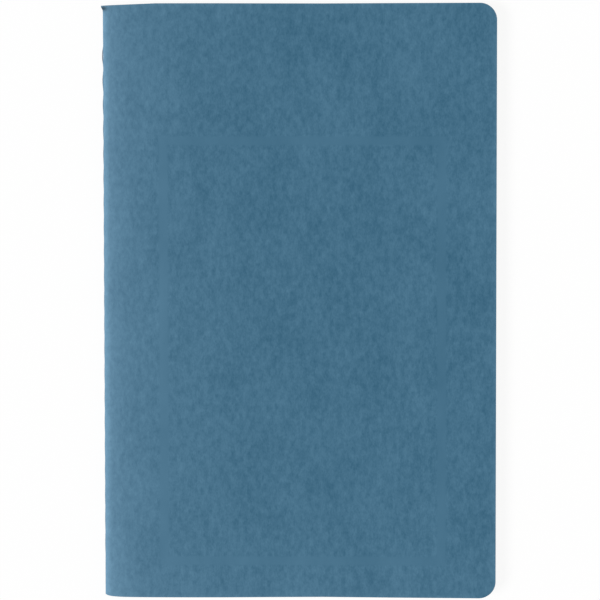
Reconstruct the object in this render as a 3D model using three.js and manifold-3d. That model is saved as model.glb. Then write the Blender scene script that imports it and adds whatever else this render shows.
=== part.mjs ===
// Softcover notebook, closed and lying on its back cover: one stitched section of folded sheets
// in a card cover. Millimetres. +X runs from the spine to the fore edge, +Y to the head, +Z up.
import * as THREE from 'three';
import { mergeVertices } from 'three/addons/utils/BufferGeometryUtils.js';
import Module from 'manifold-3d';

const wasm = await Module();
wasm.setup();

// Card cover
const bookHeight = 210;
const coverWidth = 138.5;
const coverThickness = 0.35;
const cornerRadius = 6;

// Trim at head and tail: the fold is a little shorter than the fore edge
const pullInAtSpine = 0.5;
const pullInLength = 18;

// Folded sheets, two leaves each
const sheetCount = 20;
const leafThickness = 0.1;
const leafGapAtFold = 0.005;
const leafGapInBlock = 0.06;
const centreGap = 0.04;
const swellLength = 22;

// Lockstitch through the fold
const threadDiameter = 0.45;
const threadClearance = 0.05;
const stitchPitch = 8.62;
const firstHoleFromHead = 14.3;
const leastTailMargin = 14;
const loopRadius = 0.3;
const outerLoopDepth = 0.7;
const loopGap = 0.2;

// Seams where the card bends
const landBesideHole = 0.2;
const foldSeam = 0.05;
const hingeSeam = 0.1;

// Facets
const bendSteps = 4;
const cornerSteps = 5;
const loopSteps = 4;
const threadSides = 6;

// Overrun of the tools that trim and pierce
const trimOverrun = 2;

// Worked out from the sizes above
const threadRadius = threadDiameter / 2;
const threadPassage = threadRadius + threadClearance;
const leafPitchAtFold = leafThickness + leafGapAtFold;
const leafPitchInBlock = leafThickness + leafGapInBlock;
const blockHalf = centreGap / 2 + sheetCount * leafPitchInBlock;
const coverHalf = blockHalf + coverThickness;
const leafBendX = coverThickness + leafGapAtFold + threadPassage + sheetCount * leafPitchAtFold;
const threadOutsideX = -(threadClearance + threadRadius);
const spineX = threadOutsideX - threadRadius;
const holeHalfLength = loopRadius + threadRadius + threadClearance;
const foldTop = threadPassage + landBesideHole;
const stitchRoom = bookHeight - firstHoleFromHead - leastTailMargin;
const stitchCount = Math.floor(stitchRoom / stitchPitch);

// Boolean tools

function toSolid(geometry) {
  const bare = geometry.clone();
  bare.deleteAttribute('normal');
  bare.deleteAttribute('uv');
  const merged = mergeVertices(bare);
  const vertProperties = new Float32Array(merged.attributes.position.array);
  const triVerts = new Uint32Array(merged.index.array);
  return new wasm.Manifold(new wasm.Mesh({ numProp: 3, vertProperties, triVerts }));
}

function toGeometry(solid) {
  const mesh = solid.getMesh();
  const geometry = new THREE.BufferGeometry();
  geometry.setAttribute('position', new THREE.BufferAttribute(mesh.vertProperties, 3));
  geometry.setIndex(new THREE.BufferAttribute(mesh.triVerts, 1));
  geometry.computeVertexNormals();
  return geometry;
}

// Sections of the bent layers, in x and height over the fold plane

function startAtHeight(points, height) {
  const first = points.findIndex((point) => point.y > height);
  const below = points[first - 1];
  const above = points[first];
  const share = (height - below.y) / (above.y - below.y);
  return [below.clone().lerp(above, share), ...points.slice(first)];
}

function bend(centreX, radius, fromHeight) {
  const points = [];
  for (let i = -1; i <= bendSteps; i += 1) {
    const angle = (i / bendSteps) * (Math.PI / 2);
    const x = centreX - radius * Math.cos(angle);
    points.push(new THREE.Vector2(x, radius * Math.sin(angle)));
  }
  return startAtHeight(points, fromHeight);
}

function leafFace(radius, flatHeight) {
  const points = bend(leafBendX, radius, threadPassage);
  points.push(new THREE.Vector2(leafBendX + swellLength, flatHeight));
  points.push(new THREE.Vector2(coverWidth + trimOverrun, flatHeight));
  return points;
}

function layerShape(outerFace, innerFace, side) {
  const outline = [...outerFace, ...innerFace.toReversed()];
  return new THREE.Shape(outline.map((point) => new THREE.Vector2(point.x, side * point.y)));
}

// The trimmed outline of the whole book, seen from above

function trimShape() {
  const half = bookHeight / 2;
  const startX = spineX - trimOverrun;
  const startY = half - pullInAtSpine * (1 - startX / pullInLength);
  const cornerX = coverWidth - cornerRadius;
  const cornerY = half - cornerRadius;
  const upper = [new THREE.Vector2(startX, startY), new THREE.Vector2(pullInLength, half)];
  for (let i = 0; i <= cornerSteps; i += 1) {
    const angle = (1 - i / cornerSteps) * (Math.PI / 2);
    const x = cornerX + cornerRadius * Math.cos(angle);
    upper.push(new THREE.Vector2(x, cornerY + cornerRadius * Math.sin(angle)));
  }
  const lower = upper.map((point) => new THREE.Vector2(point.x, -point.y));
  return new THREE.Shape([...upper, ...lower.reverse()]);
}

function trimTool() {
  const depth = 2 * (coverHalf + trimOverrun);
  const geometry = new THREE.ExtrudeGeometry(trimShape(), { depth, bevelEnabled: false });
  geometry.translate(0, 0, -trimOverrun);
  return toSolid(geometry);
}

const trim = trimTool();

function trimmedLayer(shape) {
  const depth = bookHeight + 2 * trimOverrun;
  const geometry = new THREE.ExtrudeGeometry(shape, { depth, bevelEnabled: false });
  geometry.rotateX(Math.PI / 2);
  geometry.translate(0, depth / 2, coverHalf);
  return toSolid(geometry).intersect(trim);
}

// Needle holes, from the head to the tail

function holeHeights() {
  const heights = [];
  for (let i = 0; i <= stitchCount; i += 1) {
    heights.push(bookHeight / 2 - firstHoleFromHead - i * stitchPitch);
  }
  return heights;
}

const holes = holeHeights();

// Card cover: back panel with the fold, front half of the spine, front panel

function coverBack() {
  const outer = bend(coverHalf, coverHalf, -foldTop);
  const inner = bend(coverHalf, blockHalf, -foldTop);
  outer.push(new THREE.Vector2(coverWidth + trimOverrun, coverHalf));
  inner.push(new THREE.Vector2(coverWidth + trimOverrun, blockHalf));
  let solid = trimmedLayer(layerShape(outer, inner, -1));
  const reach = 2 * (coverThickness + trimOverrun);
  for (const y of holes) {
    const needle = new THREE.BoxGeometry(reach, 2 * holeHalfLength, 2 * threadPassage);
    needle.translate(0, y, coverHalf);
    solid = solid.subtract(toSolid(needle));
  }
  return toGeometry(solid);
}

function coverSpineFront() {
  const outer = bend(coverHalf, coverHalf, foldTop + foldSeam);
  const inner = bend(coverHalf, blockHalf, foldTop + foldSeam);
  return toGeometry(trimmedLayer(layerShape(outer, inner, 1)));
}

function coverFront() {
  const startX = coverHalf + hingeSeam;
  const endX = coverWidth + trimOverrun;
  const outer = [new THREE.Vector2(startX, coverHalf), new THREE.Vector2(endX, coverHalf)];
  const inner = [new THREE.Vector2(startX, blockHalf), new THREE.Vector2(endX, blockHalf)];
  return toGeometry(trimmedLayer(layerShape(outer, inner, 1)));
}

// One leaf: half of folded sheet number 1 (outermost) to sheetCount (centre)

function leaf(number, side) {
  const within = sheetCount - number;
  const innerRadius = threadPassage + leafGapAtFold + within * leafPitchAtFold;
  const innerFlat = centreGap / 2 + within * leafPitchInBlock;
  const outer = leafFace(innerRadius + leafThickness, innerFlat + leafThickness);
  const inner = leafFace(innerRadius, innerFlat);
  return toGeometry(trimmedLayer(layerShape(outer, inner, side)));
}

// Threads: a run from hole to hole, with a loop through each hole towards the other thread

function arcPoints(centreX, centreY, fromAngle, toAngle) {
  const points = [];
  for (let i = 0; i <= loopSteps; i += 1) {
    const angle = fromAngle + (toAngle - fromAngle) * (i / loopSteps);
    const x = centreX + loopRadius * Math.cos(angle);
    points.push(new THREE.Vector2(x, centreY + loopRadius * Math.sin(angle)));
  }
  return points;
}

// Points of a path towards +X at one hole, walking from the head to the tail
function intoHole(runX, y) {
  return arcPoints(runX + loopRadius, y + 2 * loopRadius, Math.PI, Math.PI * 1.5);
}

function loopTurn(tipX, y) {
  return arcPoints(tipX - loopRadius, y, Math.PI / 2, -Math.PI / 2);
}

function outOfHole(runX, y) {
  return arcPoints(runX + loopRadius, y - 2 * loopRadius, Math.PI / 2, Math.PI);
}

function threadPath(runX, tipX) {
  const path = [];
  holes.forEach((y, i) => {
    const first = i === 0;
    const last = i === holes.length - 1;
    if (!first) path.push(...intoHole(runX, y));
    if (!first && !last) path.push(...loopTurn(tipX, y));
    if (first) path.push(new THREE.Vector2(tipX - loopRadius, y - loopRadius));
    if (last) path.push(new THREE.Vector2(tipX - loopRadius, y + loopRadius));
    if (!last) path.push(...outOfHole(runX, y));
  });
  return path;
}

function ringPositions(before, point, after) {
  const arriving = point.clone().sub(before).normalize();
  const leaving = after.clone().sub(point).normalize();
  const along = arriving.clone().add(leaving).normalize();
  const stretch = 1 / along.dot(arriving);
  const positions = [];
  for (let j = 0; j < threadSides; j += 1) {
    const angle = (2 * Math.PI * j) / threadSides;
    const aside = threadRadius * Math.cos(angle) * stretch;
    const x = point.x - along.y * aside;
    positions.push(x, point.y + along.x * aside, coverHalf + threadRadius * Math.sin(angle));
  }
  return positions;
}

function tubePositions(path) {
  const positions = [];
  path.forEach((point, i) => {
    const before = path[i - 1] ?? point.clone().multiplyScalar(2).sub(path[i + 1]);
    const after = path[i + 1] ?? point.clone().multiplyScalar(2).sub(path[i - 1]);
    positions.push(...ringPositions(before, point, after));
  });
  return positions;
}

function tubeIndex(ringCount) {
  const index = [];
  const lastRing = (ringCount - 1) * threadSides;
  for (let i = 0; i < ringCount - 1; i += 1) {
    for (let j = 0; j < threadSides; j += 1) {
      const here = i * threadSides + j;
      const beside = i * threadSides + ((j + 1) % threadSides);
      index.push(here, beside, here + threadSides);
      index.push(beside, beside + threadSides, here + threadSides);
    }
  }
  for (let j = 1; j < threadSides - 1; j += 1) {
    index.push(0, j + 1, j);
    index.push(lastRing, lastRing + j, lastRing + j + 1);
  }
  return index;
}

function tube(path) {
  const geometry = new THREE.BufferGeometry();
  const positions = tubePositions(path);
  geometry.setAttribute('position', new THREE.Float32BufferAttribute(positions, 3));
  geometry.setIndex(tubeIndex(path.length));
  geometry.computeVertexNormals();
  return geometry;
}

function outerThread() {
  return tube(threadPath(threadOutsideX, outerLoopDepth - threadRadius));
}

// The inner thread runs in the centre fold and loops the other way, so its path is a mirrored one
function innerThread() {
  const tipX = outerLoopDepth + loopGap + threadRadius;
  const mirrored = threadPath(-leafBendX, -tipX);
  return tube(mirrored.map((point) => new THREE.Vector2(-point.x, point.y)));
}

// Assembly

const cardColour = 0x466f87;
const paperColour = 0xf3eee1;
const threadColour = 0x829bb4;

const notebook = new THREE.Group();
notebook.position.x = -(coverWidth + spineX) / 2;

function add(name, geometry, color) {
  const material = new THREE.MeshStandardMaterial({ color, roughness: 0.9, metalness: 0 });
  const mesh = new THREE.Mesh(geometry, material);
  mesh.name = name;
  notebook.add(mesh);
}

add('cover_back', coverBack(), cardColour);
add('cover_spine_front', coverSpineFront(), cardColour);
add('cover_front', coverFront(), cardColour);
for (let number = 1; number <= sheetCount; number += 1) {
  const label = String(number).padStart(2, '0');
  add(`sheet_${label}_back_leaf`, leaf(number, -1), paperColour);
  add(`sheet_${label}_front_leaf`, leaf(number, 1), paperColour);
}
add('outer_thread', outerThread(), threadColour);
add('inner_thread', innerThread(), threadColour);

export default notebook;
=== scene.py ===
"""The looks of a softcover notebook: card cover, leaves and sewing threads on a fixed frame."""
import math
import random

import bpy
import numpy as np
from mathutils import Matrix, Vector


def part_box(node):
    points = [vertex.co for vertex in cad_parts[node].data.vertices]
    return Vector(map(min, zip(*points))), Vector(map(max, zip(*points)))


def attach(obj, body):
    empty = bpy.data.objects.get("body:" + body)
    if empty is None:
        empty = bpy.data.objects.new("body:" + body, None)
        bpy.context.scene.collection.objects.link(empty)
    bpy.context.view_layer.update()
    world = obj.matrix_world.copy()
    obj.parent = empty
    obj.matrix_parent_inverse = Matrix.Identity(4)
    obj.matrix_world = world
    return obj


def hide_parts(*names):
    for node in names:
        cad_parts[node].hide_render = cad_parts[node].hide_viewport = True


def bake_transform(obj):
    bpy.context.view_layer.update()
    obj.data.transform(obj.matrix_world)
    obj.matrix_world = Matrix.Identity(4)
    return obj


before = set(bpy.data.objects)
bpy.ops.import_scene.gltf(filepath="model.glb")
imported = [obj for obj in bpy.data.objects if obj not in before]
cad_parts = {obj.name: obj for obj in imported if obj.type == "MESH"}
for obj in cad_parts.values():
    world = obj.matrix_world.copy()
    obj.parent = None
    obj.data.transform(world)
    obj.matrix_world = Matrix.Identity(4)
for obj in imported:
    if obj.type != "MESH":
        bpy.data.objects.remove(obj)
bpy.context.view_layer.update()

MM = 0.001

# Sizes that the frame gives, in millimetres. Distances from the fold are measured on the
# outer face of the spine towards the fore edge, heights from the fold plane.
cover_low, cover_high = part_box("cover_front")
spine_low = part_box("cover_back")[0]
leaf_one_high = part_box("sheet_01_front_leaf")[1]
leaf_two_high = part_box("sheet_02_front_leaf")[1]
FOLD_X = spine_low.x / MM
WIDTH = cover_high.x / MM - FOLD_X
HALF_LENGTH = cover_high.y / MM
FOLD_Z = cover_high.z / MM / 2
CARD = (cover_high.z - cover_low.z) / MM
LEAF_PITCH = (leaf_one_high.z - leaf_two_high.z) / MM
LEAF_ONE_HALF = leaf_one_high.z / MM - FOLD_Z
SHEETS = sum(name.endswith("_front_leaf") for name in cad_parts)

# Sizes of the paper, thread and stitches. In the fold the leaves lie closer than elsewhere.
LEAF = 0.1
FOLD_GAP = 0.005
LEAF_PITCH_AT_FOLD = 0.105
THREAD_PASSAGE = 0.275
THREAD_RADIUS = 0.225
STITCH_PITCH = 8.62
FIRST_HOLE_FROM_HEAD = 14.3
STITCHES = 21
CORNER_RADIUS = 6.0

# Shape of the bend: a round nose, then a slope that dies away over the block. The card and
# all the leaves bend about one line, which lies the nose radius away from the outer face.
NOSE_RADIUS = CARD + FOLD_GAP + THREAD_PASSAGE + SHEETS * LEAF_PITCH_AT_FOLD
NOSE_END = math.radians(84)
COVER_SLOPE_LENGTH = 8.1
CENTRE_LEAF_SLOPE_LENGTH = 1.3
LEAF_SLOPE_LENGTH_STEP = 0.14
FOLD_STRIP_END = math.radians(30)
BACK_NOSE_STEPS = 20
STRIP_NOSE_STEPS = 8
FRONT_NOSE_STEPS = 13
LEAF_NOSE_STEPS = 9

# Rows of the mesh from the bend to the fore edge, and over the rounded corner in degrees
PANEL_STEPS = (
    0.4, 0.9, 1.5, 2.2, 3, 4, 5, 6.2, 7.6, 9.2, 11, 13.2, 16, 19.5, 24, 30, 40, 55, 75, 100
)
CORNER_STEP = 6

# A face that starts at the fold has its next row this high above the first, so that it spans
# the fold in a straight line.
FOLD_ROW = 0.045

# Trim: the head edge runs in towards the fold, the tail corner is rounded, and both edges
# are a little hollow in the middle
HEAD_PULL = 0.76
HEAD_PULL_LENGTH = 19.0
HEAD_HOLLOW = 0.15
TAIL_PULL = 0.8
TAIL_PULL_LENGTH = 2.4
TAIL_HOLLOW = 0.35
HOLLOW_MIDDLE = 78.0
HOLLOW_REACH = 28.0

HOLES = [HALF_LENGTH - FIRST_HOLE_FROM_HEAD - i * STITCH_PITCH for i in range(STITCHES + 1)]

# Smooth shading breaks at edges sharper than this
SHARP_ANGLE = math.radians(35)

random.seed(7)


# Outline of the trimmed book

def corner_cut(distance):
    """How much a rounded fore corner takes off the length at a distance from the fold."""
    past = distance - (WIDTH - CORNER_RADIUS)
    if past <= 0:
        return 0.0
    return CORNER_RADIUS - math.sqrt(max(0.0, CORNER_RADIUS ** 2 - past ** 2))


def bell(value, width):
    """1 at zero, falling away to both sides."""
    return math.exp(-((value / width) ** 2))


def hollow(distance):
    return bell(distance - HOLLOW_MIDDLE, HOLLOW_REACH)


def head_edge(distance):
    pull = HEAD_PULL * min(1.0, max(0.0, 1 - distance / HEAD_PULL_LENGTH))
    return HALF_LENGTH - pull - corner_cut(distance) - HEAD_HOLLOW * hollow(distance)


def tail_edge(distance):
    pull = TAIL_PULL * math.exp(-max(0.0, distance) / TAIL_PULL_LENGTH)
    return pull + corner_cut(distance) + TAIL_HOLLOW * hollow(distance) - HALF_LENGTH


# Meshes

def place(points):
    """Points of distance, length and height in mm, as frame coordinates in metres."""
    return (np.asarray(points, float) + (FOLD_X, 0, FOLD_Z)) * MM


def make_object(name, points, faces, material, tone=None):
    """A smooth-shaded object whose rest positions and tone are stored on its points."""
    mesh = bpy.data.meshes.new(name)
    mesh.from_pydata([tuple(p) for p in place(points)], [], faces)
    mesh.update()
    rest = mesh.attributes.new("rest", "FLOAT_VECTOR", "POINT")
    rest.data.foreach_set("vector", np.asarray(points, np.float32).ravel())
    tones = np.ones(len(points), np.float32) if tone is None else np.asarray(tone, np.float32)
    mesh.attributes.new("tone", "FLOAT", "POINT").data.foreach_set("value", tones)
    mesh.materials.append(material)
    mesh.polygons.foreach_set("use_smooth", [True] * len(mesh.polygons))
    obj = bpy.data.objects.new(name, mesh)
    bpy.context.scene.collection.objects.link(obj)
    mesh.set_sharp_from_angle(angle=SHARP_ANGLE)
    return obj


def grid_faces(stations, rows, offset, flip):
    """Quads between neighbouring stations and rows of one face of a plate."""
    faces = []
    for i in range(stations - 1):
        for j in range(rows - 1):
            a = offset + i * rows + j
            quad = (a, a + rows, a + rows + 1, a + 1)
            faces.append(quad[::-1] if flip else quad)
    return faces


def rim_faces(stations, rows, below, flip):
    """Quads that close a plate round its four sides."""
    last = (stations - 1) * rows
    loop = [i * rows for i in range(stations)]
    loop += [last + j for j in range(1, rows)]
    loop += [i * rows + rows - 1 for i in range(stations - 2, -1, -1)]
    loop += list(range(rows - 2, 0, -1))
    faces = []
    for here, after in zip(loop, loop[1:] + loop[:1]):
        quad = (here, here + below, after + below, after)
        faces.append(quad[::-1] if flip else quad)
    return faces


def plate_points(face, shares, side, dent):
    """Grid points of one face, from its section and the shares of the length at its rows."""
    points = []
    for distance, height in face:
        low, high = tail_edge(distance), head_edge(distance)
        for share in shares:
            along = low + (high - low) * share
            deeper = dent(along, height) if dent else 0.0
            points.append((distance + deeper, along, side * height))
    return points


def plate(name, outer, inner, shares, side, material, dent=None, tone=1.0):
    """A closed plate between an outer and an inner section, on the front (1) or back (-1) side."""
    stations, rows = len(outer), len(shares)
    points = plate_points(outer, shares, side, dent) + plate_points(inner, shares, side, dent)
    count = stations * rows
    flip = side < 0
    faces = grid_faces(stations, rows, 0, flip)
    faces += grid_faces(stations, rows, count, not flip)
    faces += rim_faces(stations, rows, count, flip)
    return make_object(name, points, faces, material, [tone] * len(points))


# Sections

def panel_stations(start):
    """Distances from the bend to the fore edge, closer together at both ends."""
    flat_end = WIDTH - CORNER_RADIUS
    stations = [start + step for step in PANEL_STEPS if start + step < flat_end]
    turns = range(0, 91, CORNER_STEP)
    corner = [flat_end + CORNER_RADIUS * math.sin(math.radians(turn)) for turn in turns]
    return stations + corner


def nose(radius, start_angle, end_angle, steps):
    """Arc about the bend's centre, from the fold (0) towards the panel (90 degrees)."""
    points = []
    for i in range(steps + 1):
        angle = start_angle + (end_angle - start_angle) * i / max(1, steps)
        points.append((NOSE_RADIUS - radius * math.cos(angle), radius * math.sin(angle)))
    return points


def nose_from_fold(radius, end_angle, steps):
    """An arc from the fold, with a row close beside it."""
    return nose(radius, 0.0, 0.0, 0) + nose(radius, math.asin(FOLD_ROW / radius), end_angle, steps)


def turn_from_fold(piece):
    """Bakes the placement of a piece that turns at the fold into its mesh."""
    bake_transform(piece)


def cover_face(depth, start_angle, end_angle, with_panel, steps):
    """Outer (depth 0) or inner (depth CARD) face of the card."""
    radius = NOSE_RADIUS - depth
    if start_angle:
        points = nose(radius, start_angle, end_angle, steps)
    else:
        points = nose_from_fold(radius, end_angle, steps)
    if with_panel:
        start, height = points[-1]
        drop = FOLD_Z - depth - height
        for distance in panel_stations(NOSE_RADIUS):
            fade = math.exp(-(distance - start) / COVER_SLOPE_LENGTH)
            points.append((distance, FOLD_Z - depth - drop * fade))
    return points


def leaf_face(radius, flat_height, slope_length, trim):
    """One face of a leaf: its bend round the inner thread, its slope and its flat."""
    points = nose_from_fold(radius, math.pi / 2, LEAF_NOSE_STEPS)
    for distance in panel_stations(NOSE_RADIUS):
        far = (distance - NOSE_RADIUS) / slope_length
        fade = (1 + far) * math.exp(-far)
        height = flat_height + (radius - flat_height) * fade
        points.append((distance - trim * min(1.0, far), height))
    return points


# The fold

# It is pressed in a little under the thread, drawn in at each needle hole, and squeezed
# outwards at its head end.
GROOVE_DEPTH = 0.1
GROOVE_HEIGHT = 0.35
DENT_DEPTH = 0.05
DENT_LENGTH = 1.8
DENT_HEIGHT = 0.75
TIP_REACH = 0.7
TIP_LENGTH = 0.8
TIP_FROM_HEAD = 0.35
TIP_HEIGHT = 0.8

# Rows of the mesh along the fold: to both sides of each hole, and from either end
HOLE_ROWS = (-2.6, -1.8, -1.2, -0.7, -0.3, 0, 0.3, 0.7, 1.2, 1.8, 2.6)
TAIL_ROWS = (0.0, 0.4, 0.9, 1.6, 2.6, 5)
HEAD_ROWS = (*TAIL_ROWS, 8)


def nearest_hole(along):
    return min(abs(along - hole) for hole in HOLES)


def fold_press(along, height):
    """How far the fold is pressed in at a place, or squeezed out where negative."""
    sewn = HOLES[-1] <= along <= HOLES[0]
    groove = GROOVE_DEPTH * bell(height, GROOVE_HEIGHT) if sewn else 0.0
    dent = DENT_DEPTH * bell(nearest_hole(along), DENT_LENGTH) * bell(height, DENT_HEIGHT)
    from_tip = head_edge(0.0) - TIP_FROM_HEAD - along
    tip = TIP_REACH * bell(from_tip, TIP_LENGTH) * bell(height, TIP_HEIGHT)
    return max(groove, dent) - tip


def stitch_shares():
    """Rows that follow the needle holes, as shares of the length."""
    rows = {hole + step for hole in HOLES for step in HOLE_ROWS}
    rows |= {hole - STITCH_PITCH / 2 for hole in HOLES[:-1]}
    rows |= {HALF_LENGTH - step for step in HEAD_ROWS}
    rows |= {step - HALF_LENGTH for step in TAIL_ROWS}
    return [(row + HALF_LENGTH) / (2 * HALF_LENGTH) for row in sorted(rows)]


# Materials

def new_material(name):
    material = bpy.data.materials.new(name)
    material.use_nodes = True
    nodes = material.node_tree.nodes
    return material, nodes, material.node_tree.links, nodes["Principled BSDF"]


def srgb(red, green, blue):
    """Linear colour of an 8-bit display colour."""
    values = []
    for value in (red, green, blue):
        share = value / 255
        values.append(share / 12.92 if share <= 0.04045 else ((share + 0.055) / 1.055) ** 2.4)
    return (*values, 1.0)


def attribute(nodes, name):
    node = nodes.new("ShaderNodeAttribute")
    node.attribute_name = name
    return node


def math_node(nodes, links, operation, first, second=None):
    node = nodes.new("ShaderNodeMath")
    node.operation = operation
    for index, value in enumerate((first, second)):
        if value is None:
            continue
        if isinstance(value, (int, float)):
            node.inputs[index].default_value = value
        else:
            links.new(value, node.inputs[index])
    return node.outputs[0]


def vector_node(nodes, links, operation, first, second=None):
    node = nodes.new("ShaderNodeVectorMath")
    node.operation = operation
    links.new(first, node.inputs[0])
    if isinstance(second, tuple):
        node.inputs[1].default_value = second
    elif second is not None:
        links.new(second, node.inputs[1])
    return node.outputs[0]


def scaled_noise(nodes, links, source, stretch, detail, rough):
    """Noise over positions in mm; stretch is how many features fit in a millimetre."""
    noise = nodes.new("ShaderNodeTexNoise")
    links.new(vector_node(nodes, links, "MULTIPLY", source, stretch), noise.inputs["Vector"])
    noise.inputs["Scale"].default_value = 1.0
    noise.inputs["Detail"].default_value = detail
    noise.inputs["Roughness"].default_value = rough
    return noise.outputs["Fac"]


def brighten(nodes, links, colour, factor):
    """The colour multiplied by a factor socket."""
    node = nodes.new("ShaderNodeVectorMath")
    node.operation = "SCALE"
    if isinstance(colour, tuple):
        node.inputs[0].default_value = colour[:3]
    else:
        links.new(colour, node.inputs[0])
    links.new(factor, node.inputs["Scale"])
    return node.outputs[0]


def fade_from(nodes, links, distance, length, amount):
    """amount times exp(-distance / length)."""
    share = math_node(nodes, links, "DIVIDE", distance, -length)
    fade = math_node(nodes, links, "POWER", math.e, share)
    return math_node(nodes, links, "MULTIPLY", fade, amount)


def sum_of(nodes, links, *values):
    total = values[0]
    for value in values[1:]:
        total = math_node(nodes, links, "ADD", total, value)
    return total


def swing(nodes, links, noise, amount):
    """Noise about its middle, times an amount."""
    centred = math_node(nodes, links, "SUBTRACT", noise, 0.5)
    return math_node(nodes, links, "MULTIPLY", centred, amount)


# Colours and noises of the card. A noise is how many of its features fit in a millimetre
# each way, its detail and its roughness; its swing is how far it changes the shade.
CARD_COLOUR = srgb(67, 109, 134)
MOTTLE_COLOUR = srgb(84, 109, 123)
# Whitish tint of the wear, and of the painted light by the fold
WEAR_AND_PAINTED_LIGHT_COLOUR = srgb(115, 137, 154)
CLUMPS = ((0.72, 0.4, 0.72), 2.0, 0.45)
GRAIN = ((1.7, 0.95, 1.7), 1.0, 0.5)
FIBRES = ((8.0, 1.7, 8.0), 2.0, 0.6)
CLOUDS = ((0.08, 0.04, 0.08), 3.0, 0.6)
CLUMP_SWING = 0.58
GRAIN_SWING = 0.28
FIBRE_SWING = 0.38
CLOUD_SWING = 0.38
CLUMP_RELIEF = 0.5
FIBRE_RELIEF = 0.5

# Lightening of the card from each edge: how far it reaches in millimetres, and how strong it is
# By the fold: painted light from the spine side, mixed with real wear of the bend
FOLD_WEAR_AND_PAINTED_LIGHT = ((1.2, 0.24), (5.0, 0.19), (22.0, 0.19))
# At the fore edge and the head: wear of the cut edges
FORE_WEAR = (0.7, 0.12)
HEAD_WEAR = (0.6, 0.08)
# At the tail: wear at the cut edge, and a little lighter over a longer reach
TAIL_LIGHTENING = ((0.6, 0.08), (15.0, 0.05))

# A plain rectangular band on the front cover: middle and half size of its centre line
FRAME_MIDDLE = (70.3, -17.5, 0.0)
FRAME_HALF = (49.0, 74.3, 0.0)
FRAME_BAND_HALF = 1.5
FRAME_BAND_SOFT = 0.5
FRAME_LIFT = 0.035

# Painted shade on the squeezed tip at the head end of the fold: middle, size each way and darkness
TIP_SPOT = (0.3, HALF_LENGTH - HEAD_PULL - 1.0, 0.0)
TIP_SPOT_SIZE = (1.9, 0.95, 4.5)
TIP_SHADE_DARKNESS = 0.86

PAPER_COLOUR = srgb(240, 236, 224)
PAPER_FELT = ((1.2, 1.0, 6.0), 3.0, 0.6)
PAPER_CLOUDS = ((0.08, 0.08, 0.6), 2.0, 0.5)
FELT_SWING = 0.05
PAPER_CLOUD_SWING = 0.04

THREAD_COLOUR = srgb(76, 103, 126)
THREAD_FIBRES = ((14.0, 5.0, 14.0), 3.0, 0.7)
THREAD_FIBRE_SWING = 0.5
THREAD_SHEEN = 0.05

# Roughness and specular level, then strength and distance in metres of the bump
CARD_FINISH = (0.9, 0.12)
CARD_BUMP = (0.25, 0.00004)
PAPER_FINISH = (0.92, 0.15)
PAPER_BUMP = (0.15, 0.00003)
THREAD_FINISH = (0.75, 0.25)
THREAD_BUMP = (0.3, 0.00003)


def smooth_frame(nodes, links, rest):
    """1 on the plain band of the front cover, 0 elsewhere and on the back."""
    offset = vector_node(nodes, links, "SUBTRACT", rest, FRAME_MIDDLE)
    reach = vector_node(nodes, links, "ABSOLUTE", offset)
    past = vector_node(nodes, links, "SUBTRACT", reach, FRAME_HALF)
    split = nodes.new("ShaderNodeSeparateXYZ")
    links.new(past, split.inputs[0])
    nearer = math_node(nodes, links, "MAXIMUM", split.outputs["X"], split.outputs["Y"])
    away = math_node(nodes, links, "ABSOLUTE", nearer)
    fade = nodes.new("ShaderNodeMapRange")
    fade.interpolation_type = "SMOOTHSTEP"
    links.new(away, fade.inputs["Value"])
    fade.inputs["From Min"].default_value = FRAME_BAND_HALF - FRAME_BAND_SOFT
    fade.inputs["From Max"].default_value = FRAME_BAND_HALF + FRAME_BAND_SOFT
    fade.inputs["To Min"].default_value = 1.0
    fade.inputs["To Max"].default_value = 0.0
    sides = nodes.new("ShaderNodeSeparateXYZ")
    links.new(rest, sides.inputs[0])
    front = math_node(nodes, links, "GREATER_THAN", sides.outputs["Z"], 0.0)
    return math_node(nodes, links, "MULTIPLY", fade.outputs["Result"], front)


def painted_tip_shade(nodes, links, rest):
    """Factor of the painted shade on the squeezed tip at the head end of the fold, 1 elsewhere."""
    offset = vector_node(nodes, links, "SUBTRACT", rest, TIP_SPOT)
    scaled = vector_node(nodes, links, "DIVIDE", offset, TIP_SPOT_SIZE)
    square = nodes.new("ShaderNodeVectorMath")
    square.operation = "DOT_PRODUCT"
    links.new(scaled, square.inputs[0])
    links.new(scaled, square.inputs[1])
    dark = fade_from(nodes, links, square.outputs["Value"], 1.0, TIP_SHADE_DARKNESS)
    return math_node(nodes, links, "SUBTRACT", 1.0, dark)


def set_finish(shader, roughness, specular):
    shader.inputs["Roughness"].default_value = roughness
    shader.inputs["Specular IOR Level"].default_value = specular


def add_bump(nodes, links, shader, height, strength, distance):
    bump = nodes.new("ShaderNodeBump")
    bump.inputs["Strength"].default_value = strength
    bump.inputs["Distance"].default_value = distance
    links.new(height, bump.inputs["Height"])
    links.new(bump.outputs["Normal"], shader.inputs["Normal"])


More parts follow.
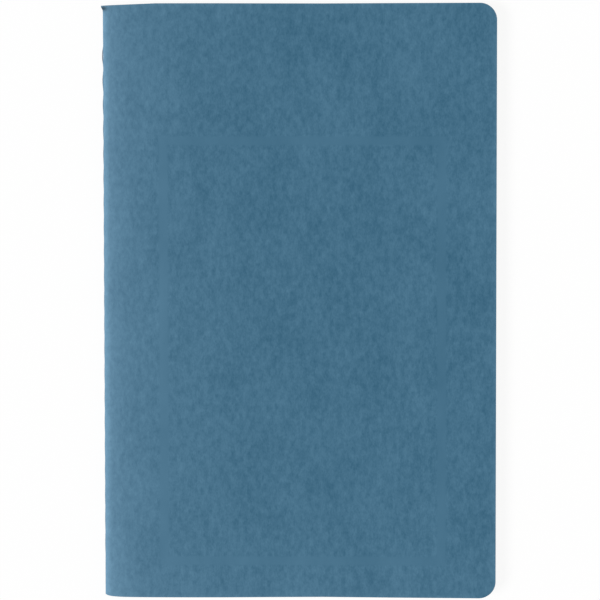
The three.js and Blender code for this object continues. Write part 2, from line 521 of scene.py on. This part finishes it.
def card_material():
    """Dyed card: fibres along the length, faint clouds, worn edges, painted light and wear by the
    fold.
    """
    material, nodes, links, shader = new_material("dyed_card")
    rest = attribute(nodes, "rest").outputs["Vector"]
    split = nodes.new("ShaderNodeSeparateXYZ")
    links.new(rest, split.inputs[0])
    from_fold, along = split.outputs["X"], split.outputs["Y"]
    clumps = scaled_noise(nodes, links, rest, *CLUMPS)
    grain = scaled_noise(nodes, links, rest, *GRAIN)
    fibres = scaled_noise(nodes, links, rest, *FIBRES)
    clouds = scaled_noise(nodes, links, rest, *CLOUDS)
    mottle = sum_of(
        nodes,
        links,
        swing(nodes, links, clumps, CLUMP_SWING),
        swing(nodes, links, grain, GRAIN_SWING),
        swing(nodes, links, fibres, FIBRE_SWING),
    )
    smooth = smooth_frame(nodes, links, rest)
    rough = math_node(nodes, links, "SUBTRACT", 1.0, smooth)
    mottle = math_node(nodes, links, "MULTIPLY", mottle, rough)
    lift = math_node(nodes, links, "MULTIPLY", smooth, FRAME_LIFT)
    from_fore = math_node(nodes, links, "SUBTRACT", WIDTH, from_fold)
    from_head = math_node(nodes, links, "SUBTRACT", HALF_LENGTH, along)
    from_tail = math_node(nodes, links, "ADD", along, HALF_LENGTH)
    shade = sum_of(nodes, links, mottle, swing(nodes, links, clouds, CLOUD_SWING), lift)
    # Lightening: painted light mixed with wear by the fold, wear at the other edges
    wear_and_painted_light = sum_of(
        nodes,
        links,
        *(fade_from(nodes, links, from_fold, *wear) for wear in FOLD_WEAR_AND_PAINTED_LIGHT),
        fade_from(nodes, links, from_fore, *FORE_WEAR),
        fade_from(nodes, links, from_head, *HEAD_WEAR),
        *(fade_from(nodes, links, from_tail, *wear) for wear in TAIL_LIGHTENING),
    )
    mottled = brighten(nodes, links, MOTTLE_COLOUR, shade)
    wear_and_light_tint = brighten(nodes, links, WEAR_AND_PAINTED_LIGHT_COLOUR, wear_and_painted_light)
    changes = vector_node(nodes, links, "ADD", mottled, wear_and_light_tint)
    total = vector_node(nodes, links, "ADD", changes, CARD_COLOUR[:3])
    # Painted shade darkens the squeezed tip at the head end of the fold
    shaded = brighten(nodes, links, total, painted_tip_shade(nodes, links, rest))
    links.new(shaded, shader.inputs["Base Color"])
    set_finish(shader, *CARD_FINISH)
    height = sum_of(
        nodes,
        links,
        math_node(nodes, links, "MULTIPLY", clumps, CLUMP_RELIEF),
        math_node(nodes, links, "MULTIPLY", fibres, FIBRE_RELIEF),
    )
    add_bump(nodes, links, shader, height, *CARD_BUMP)
    return material


def paper_material():
    """Uncoated off-white paper with a faint felt mottle."""
    material, nodes, links, shader = new_material("page_paper")
    rest = attribute(nodes, "rest").outputs["Vector"]
    tone = attribute(nodes, "tone").outputs["Fac"]
    felt = scaled_noise(nodes, links, rest, *PAPER_FELT)
    clouds = scaled_noise(nodes, links, rest, *PAPER_CLOUDS)
    factor = sum_of(
        nodes,
        links,
        swing(nodes, links, felt, FELT_SWING),
        swing(nodes, links, clouds, PAPER_CLOUD_SWING),
        tone,
    )
    links.new(brighten(nodes, links, PAPER_COLOUR, factor), shader.inputs["Base Color"])
    set_finish(shader, *PAPER_FINISH)
    add_bump(nodes, links, shader, felt, *PAPER_BUMP)
    return material


def thread_material():
    """Twisted matt sewing thread; its plies are modelled, its fibres are noise."""
    material, nodes, links, shader = new_material("sewing_thread")
    rest = attribute(nodes, "rest").outputs["Vector"]
    tone = attribute(nodes, "tone").outputs["Fac"]
    fibres = scaled_noise(nodes, links, rest, *THREAD_FIBRES)
    factor = sum_of(nodes, links, swing(nodes, links, fibres, THREAD_FIBRE_SWING), tone)
    links.new(brighten(nodes, links, THREAD_COLOUR, factor), shader.inputs["Base Color"])
    set_finish(shader, *THREAD_FINISH)
    shader.inputs["Sheen Weight"].default_value = THREAD_SHEEN
    add_bump(nodes, links, shader, fibres, *THREAD_BUMP)
    return material


# Cover


def card_plate(name, side, start_angle, end_angle, with_panel, steps, material):
    """A piece of the folded card between two angles of the bend, with its panel or without."""
    outer = cover_face(0.0, start_angle, end_angle, with_panel, steps)
    inner = cover_face(CARD, start_angle, end_angle, with_panel, steps)
    return plate(name, outer, inner, stitch_shares(), side, material, fold_press)


def make_cover(material):
    back = card_plate("back_cover_card", -1, 0.0, NOSE_END, True, BACK_NOSE_STEPS, material)
    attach(back, "back_half")
    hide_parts("cover_back")

    strip = card_plate(
        "spine_fold_card", 1, 0.0, FOLD_STRIP_END, False, STRIP_NOSE_STEPS, material
    )
    turn_from_fold(strip)
    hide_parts("cover_spine_front")

    front = card_plate(
        "front_cover_card", 1, FOLD_STRIP_END, NOSE_END, True, FRONT_NOSE_STEPS, material
    )
    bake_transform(front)
    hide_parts("cover_front")


# Leaves

# Each leaf loses a little at its fore edge and has its own tone, and its mesh has rows at these
# shares of its length
TRIM = (0.02, 0.12)
PAPER_TONE = (0.93, 1.0)
LEAF_SHARES = (0.0, 0.02, 0.25, 0.5, 0.75, 0.98, 1.0)


def make_leaf(number, side, material):
    """One leaf of a folded sheet, bent from the fold."""
    within = SHEETS - number
    label = f"{number:02d}"
    word = "front" if side > 0 else "back"
    inner_radius = THREAD_PASSAGE + FOLD_GAP + within * LEAF_PITCH_AT_FOLD
    outer_flat = LEAF_ONE_HALF - (number - 1) * LEAF_PITCH
    slope_length = CENTRE_LEAF_SLOPE_LENGTH + within * LEAF_SLOPE_LENGTH_STEP
    trim = random.uniform(*TRIM)
    leaf = plate(
        f"{word}_leaf_{label}_paper",
        leaf_face(inner_radius + LEAF, outer_flat, slope_length, trim),
        leaf_face(inner_radius, outer_flat - LEAF, slope_length, trim),
        LEAF_SHARES,
        side,
        material,
        tone=random.uniform(*PAPER_TONE),
    )
    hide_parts(f"sheet_{label}_{word}_leaf")
    if side > 0:
        turn_from_fold(leaf)
    else:
        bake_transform(leaf)


def make_leaves(material):
    for number in range(1, SHEETS + 1):
        make_leaf(number, 1, material)
        make_leaf(number, -1, material)


# Threads

# The twist, and the sides and steps of the tube's mesh
PLIES = 3
PLY_RELIEF = 0.13
TWIST_LENGTH = 1.5
THREAD_SIDES = 12
THREAD_STEP = 0.14

# The outer thread is pressed flat, stands proud between its holes, most of all at the head,
# and both threads dive into the holes
PRESSED_FLAT = 0.68
STITCH_RISE = 0.07
HEAD_STITCH_RISE = 0.36
RISE_FADE = 2.2
OUTER_DIVE = 0.55
INNER_DIVE = 0.6
DIVE_LENGTH = 0.45


def tube_faces(rings):
    faces = []
    for i in range(rings - 1):
        for j in range(THREAD_SIDES):
            here = i * THREAD_SIDES + j
            beside = i * THREAD_SIDES + (j + 1) % THREAD_SIDES
            faces.append((here, beside, beside + THREAD_SIDES, here + THREAD_SIDES))
    faces.append(tuple(range(THREAD_SIDES))[::-1])
    last = (rings - 1) * THREAD_SIDES
    faces.append(tuple(last + j for j in range(THREAD_SIDES)))
    return faces


def twisted_tube(path, flatness):
    """Points and faces of a plied thread round a path; flatness squeezes it across the fold."""
    path = np.asarray(path, float)
    along = np.gradient(path, axis=0)
    along /= np.linalg.norm(along, axis=1)[:, None]
    up = np.array((0.0, 0.0, 1.0))
    aside = np.cross(along, up)
    aside /= np.linalg.norm(aside, axis=1)[:, None]
    walked = np.concatenate(([0.0], np.cumsum(np.linalg.norm(np.diff(path, axis=0), axis=1))))
    points = []
    for i in range(len(path)):
        over = np.cross(aside[i], along[i])
        for j in range(THREAD_SIDES):
            angle = 2 * math.pi * j / THREAD_SIDES
            turn = angle - 2 * math.pi * walked[i] / TWIST_LENGTH
            radius = THREAD_RADIUS * (1 - PLY_RELIEF + PLY_RELIEF * math.cos(PLIES * turn))
            across = radius * flatness * math.cos(angle)
            points.append(path[i] + across * aside[i] + radius * math.sin(angle) * over)
    return points, tube_faces(len(path))


def stitch_line(sink):
    """Path from the first hole to the last; sink gives the depth at a place along the length."""
    start, end = HOLES[0], HOLES[-1]
    steps = int((start - end) / THREAD_STEP)
    ys = [start + (end - start) * i / steps for i in range(steps + 1)]
    return [(sink(y), y, 0.0) for y in ys]


def stitch_rise(y):
    """How far the thread of a stitch stands proud of the fold: slackest towards the head."""
    index = (HOLES[0] - y) / STITCH_PITCH
    return STITCH_RISE + HEAD_STITCH_RISE * math.exp(-max(0.0, index) / RISE_FADE)


def outer_sink(y):
    """The outer thread lies flat in its groove and dives into each hole."""
    near = nearest_hole(y)
    proud = stitch_rise(y) * math.sin(math.pi * near / STITCH_PITCH) ** 2
    dive = OUTER_DIVE * bell(near, DIVE_LENGTH)
    return PRESSED_FLAT * THREAD_RADIUS - proud + dive


def inner_sink(y):
    """The inner thread lies in the centre fold and dives into each hole."""
    return NOSE_RADIUS - INNER_DIVE * bell(nearest_hole(y), DIVE_LENGTH)


def make_threads(material):
    points, faces = twisted_tube(stitch_line(outer_sink), PRESSED_FLAT)
    outer = make_object("outer_stitches", points, faces, material)
    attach(outer, "back_half")
    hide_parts("outer_thread")
    points, faces = twisted_tube(stitch_line(inner_sink), 1.0)
    inner = make_object("inner_stitches", points, faces, material)
    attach(inner, "back_half")
    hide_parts("inner_thread")


# Stage, light and camera

# The floor in metres, just under the notebook. It glows for the rays that look at it, so that
# it is as white as the background of the photograph, and takes a trace of shadow.
FLOOR_REACH = 3.0
FLOOR_DROP = 0.00005
FLOOR_WHITE = 0.95
FLOOR_GLOW = 0.9

# A white surround and a soft lamp from the spine side, whose strengths add up to white on a
# level sheet
WORLD_STRENGTH = 0.45
KEY_ELEVATION = math.radians(55)
KEY_TO_HEAD = 0.12
KEY_SOFTNESS = math.radians(25)
KEY_STRENGTH = math.pi * (1 - WORLD_STRENGTH) / math.sin(KEY_ELEVATION)

# The photograph looks straight down, a little from the head side, and is 600 pixels square
PHOTO_PIXELS = 600
MM_PER_PIXEL = 0.35226
CAMERA_DISTANCE = 1200.0
CAMERA_TILT_TO_HEAD = math.radians(3.8)
CAMERA_TILT_TO_FORE = math.radians(1.6)
CAMERA_ROLL = math.radians(-0.06)
AIM = (0.41, 0.753)
SENSOR = 36.0
CLIP_NEAR = 0.01
CLIP_FAR = 10.0


def seen_rays(nodes, links, rays):
    """1 for rays from the camera, off a gloss or through a glass."""
    first = math_node(
        nodes, links, "MAXIMUM", rays.outputs["Is Camera Ray"], rays.outputs["Is Glossy Ray"]
    )
    return math_node(nodes, links, "MAXIMUM", first, rays.outputs["Is Transmission Ray"])


def make_floor():
    mesh = bpy.data.meshes.new("floor")
    corners = ((-1, -1), (1, -1), (1, 1), (-1, 1))
    points = [(x * FLOOR_REACH, y * FLOOR_REACH, -FLOOR_DROP) for x, y in corners]
    mesh.from_pydata(points, [], [(0, 1, 2, 3)])
    floor = bpy.data.objects.new("floor", mesh)
    bpy.context.scene.collection.objects.link(floor)
    material, nodes, links, shader = new_material("white_floor")
    shader.inputs["Base Color"].default_value = (FLOOR_WHITE, FLOOR_WHITE, FLOOR_WHITE, 1)
    set_finish(shader, 1.0, 0.0)
    glow = nodes.new("ShaderNodeEmission")
    glow.inputs["Color"].default_value = (1, 1, 1, 1)
    rays = nodes.new("ShaderNodeLightPath")
    seen = math_node(nodes, links, "MULTIPLY", seen_rays(nodes, links, rays), FLOOR_GLOW)
    mix = nodes.new("ShaderNodeMixShader")
    links.new(seen, mix.inputs["Fac"])
    links.new(shader.outputs[0], mix.inputs[1])
    links.new(glow.outputs[0], mix.inputs[2])
    links.new(mix.outputs[0], nodes["Material Output"].inputs["Surface"])
    mesh.materials.append(material)


def make_light():
    world = bpy.data.worlds.new("studio")
    bpy.context.scene.world = world
    world.use_nodes = True
    nodes, links = world.node_tree.nodes, world.node_tree.links
    background = nodes["Background"]
    background.inputs["Color"].default_value = (1, 1, 1, 1)
    rays = nodes.new("ShaderNodeLightPath")
    seen = seen_rays(nodes, links, rays)
    extra = math_node(nodes, links, "MULTIPLY", seen, 1 - WORLD_STRENGTH)
    strength = math_node(nodes, links, "ADD", extra, WORLD_STRENGTH)
    links.new(strength, background.inputs["Strength"])

    lamp = bpy.data.lights.new("window_side", "SUN")
    lamp.energy = KEY_STRENGTH
    lamp.angle = KEY_SOFTNESS
    key = bpy.data.objects.new("window_side", lamp)
    towards = Vector((math.cos(KEY_ELEVATION), KEY_TO_HEAD, -math.sin(KEY_ELEVATION)))
    key.rotation_mode = "QUATERNION"
    key.rotation_quaternion = towards.to_track_quat("-Z", "Y")
    bpy.context.scene.collection.objects.link(key)


def make_camera():
    data = bpy.data.cameras.new("overhead")
    data.sensor_width = SENSOR
    data.lens = SENSOR * CAMERA_DISTANCE / (PHOTO_PIXELS * MM_PER_PIXEL)
    data.clip_start = CLIP_NEAR
    data.clip_end = CLIP_FAR
    camera = bpy.data.objects.new("overhead", data)
    bpy.context.scene.collection.objects.link(camera)
    aim = Vector((AIM[0] * MM, AIM[1] * MM, 2 * FOLD_Z * MM))
    back = Vector((math.tan(CAMERA_TILT_TO_FORE), math.tan(CAMERA_TILT_TO_HEAD), 1)).normalized()
    camera.location = aim + back * CAMERA_DISTANCE * MM
    right = Vector((0, 1, 0)).cross(back).normalized()
    up = back.cross(right)
    turn = Matrix((right, up, back)).transposed() @ Matrix.Rotation(CAMERA_ROLL, 3, "Z")
    camera.rotation_mode = "QUATERNION"
    camera.rotation_quaternion = turn.to_quaternion()
    bpy.context.scene.camera = camera


def main():
    bpy.context.scene.view_settings.view_transform = "Standard"
    make_camera()
    make_light()
    make_floor()
    make_cover(card_material())
    make_leaves(paper_material())
    make_threads(thread_material())


main()
